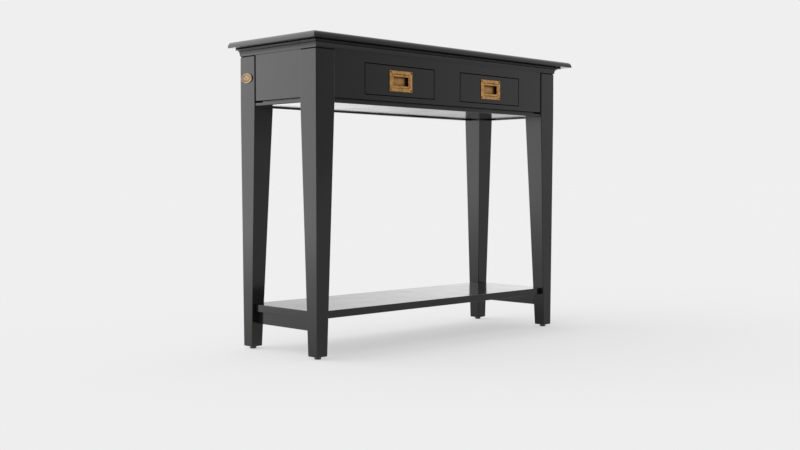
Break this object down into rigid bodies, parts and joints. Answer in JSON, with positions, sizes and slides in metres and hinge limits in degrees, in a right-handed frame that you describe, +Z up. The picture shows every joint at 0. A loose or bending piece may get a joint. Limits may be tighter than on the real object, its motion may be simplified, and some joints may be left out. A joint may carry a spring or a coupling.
{
  "type": "console table",
  "caption": "Narrow console table with tapered legs, a moulded top, small flush-front drawers with sunk ring pulls, and a low shelf carried on end stretchers.",
  "frame": {"origin": "on the floor under the middle of the table top's outline", "axes": "+X to the right as seen from the front, +Y towards the back, +Z up"},
  "size_m": [1.02, 0.344, 0.8],
  "materials": {
    "black_lacquered_wood": "black satin lacquer over hardwood",
    "lacquered_plywood": "black satin lacquer over plywood",
    "drawer_wood": "bare sanded poplar",
    "antique_brass": "brushed and lightly aged",
    "pale_brass": "pale satin brass",
    "black_nylon": "moulded, matt"
  },
  "bodies": {
    "carcase": {"back_bottom_strip": "black_lacquered_wood", "back_rail": "black_lacquered_wood", "badge": "pale_brass", "bottom_panel": "lacquered_plywood", "front_bottom_rail": "black_lacquered_wood", "front_bottom_strip": "black_lacquered_wood", "front_centre_stile": "black_lacquered_wood", "front_cove_moulding": "black_lacquered_wood", "front_left_glide": "black_nylon", "front_left_leg": "black_lacquered_wood", "front_left_stile": "black_lacquered_wood", "front_right_glide": "black_nylon", "front_right_leg": "black_lacquered_wood", "front_right_stile": "black_lacquered_wood", "front_top_rail": "black_lacquered_wood", "left_bottom_strip": "black_lacquered_wood", "left_cove_moulding": "black_lacquered_wood", "left_drawer_inner_guide": "drawer_wood", "left_drawer_inner_runner": "drawer_wood", "left_drawer_outer_guide": "drawer_wood", "left_drawer_outer_runner": "drawer_wood", "left_end_rail": "black_lacquered_wood", "left_stretcher": "black_lacquered_wood", "rear_left_glide": "black_nylon", "rear_left_leg": "black_lacquered_wood", "rear_right_glide": "black_nylon", "rear_right_leg": "black_lacquered_wood", "right_bottom_strip": "black_lacquered_wood", "right_cove_moulding": "black_lacquered_wood", "right_drawer_inner_guide": "drawer_wood", "right_drawer_inner_runner": "drawer_wood", "right_drawer_outer_guide": "drawer_wood", "right_drawer_outer_runner": "drawer_wood", "right_end_rail": "black_lacquered_wood", "right_stretcher": "black_lacquered_wood", "shelf": "black_lacquered_wood", "table_top": "black_lacquered_wood"},
    "left_drawer": {"left_drawer_back": "drawer_wood", "left_drawer_bottom": "drawer_wood", "left_drawer_front": "black_lacquered_wood", "left_drawer_left_side": "drawer_wood", "left_drawer_right_side": "drawer_wood", "left_pull_plate": "antique_brass", "left_pull_screw_1": "antique_brass", "left_pull_screw_2": "antique_brass", "left_pull_screw_3": "antique_brass", "left_pull_screw_4": "antique_brass"},
    "right_drawer": {"right_drawer_back": "drawer_wood", "right_drawer_bottom": "drawer_wood", "right_drawer_front": "black_lacquered_wood", "right_drawer_left_side": "drawer_wood", "right_drawer_right_side": "drawer_wood", "right_pull_plate": "antique_brass", "right_pull_screw_1": "antique_brass", "right_pull_screw_2": "antique_brass", "right_pull_screw_3": "antique_brass", "right_pull_screw_4": "antique_brass"},
    "left_ring": {"left_pull_ring": "antique_brass"},
    "right_ring": {"right_pull_ring": "antique_brass"}
  },
  "joints": [
    {"name": "left_drawer_slide", "type": "slide", "parent": "carcase", "child": "left_drawer", "axis": [0, -1, 0], "range_m": [0, 0.2]},
    {"name": "right_drawer_slide", "type": "slide", "parent": "carcase", "child": "right_drawer", "axis": [0, -1, 0], "range_m": [0, 0.2]},
    {"name": "left_ring_hinge", "type": "hinge", "parent": "left_drawer", "child": "left_ring", "pos_m": [-0.1797, -0.13115, 0.71585], "axis": [-1, 0, 0], "range_deg": [0, 90]},
    {"name": "right_ring_hinge", "type": "hinge", "parent": "right_drawer", "child": "right_ring", "pos_m": [0.1797, -0.13115, 0.71585], "axis": [-1, 0, 0], "range_deg": [0, 90]}
  ]
}
